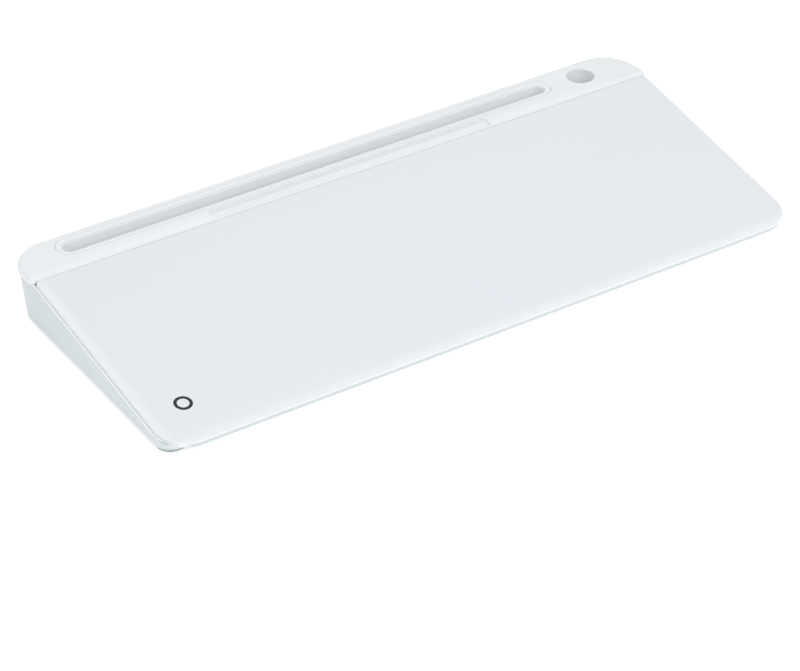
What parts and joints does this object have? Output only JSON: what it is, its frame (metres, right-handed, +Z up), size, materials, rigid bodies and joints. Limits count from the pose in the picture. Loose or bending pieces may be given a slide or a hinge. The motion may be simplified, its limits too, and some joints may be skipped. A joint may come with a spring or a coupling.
{
  "type": "tablet stand",
  "caption": "Low desktop wedge with a glass writing panel, and a raised rail that holds a tablet or phone in a slot and a pen in a well.",
  "frame": {"origin": "middle of the footprint, on the surface that the feet stand on", "axes": "+Z up, +X to the user's right along the long side, -Y towards the user (the low front edge of the glass)"},
  "size_m": [0.434, 0.188, 0.0385],
  "materials": {
    "glass": "polished",
    "white_enamel": "gloss",
    "foam_tape": "matte",
    "white_shell": "satin",
    "white_tub": "satin",
    "grip_strip": "matte",
    "rubber_pad": "matte",
    "zinc_screw": "zinc plated"
  },
  "bodies": {
    "root": {"glass_panel": "glass", "glass_backing": "white_enamel", "tape_front": "foam_tape", "tape_rear": "foam_tape", "tape_left": "foam_tape", "tape_right": "foam_tape", "tape_middle": "foam_tape", "upper_housing": "white_shell", "device_tray": "white_shell", "tray_grip_strip": "grip_strip", "lower_housing": "white_tub", "foot_front_left": "rubber_pad", "foot_front_right": "rubber_pad", "foot_front_middle": "rubber_pad", "foot_rear_left": "rubber_pad", "foot_rear_right": "rubber_pad", "foot_rear_middle": "rubber_pad", "housing_screws": "zinc_screw"}
  },
  "joints": []
}
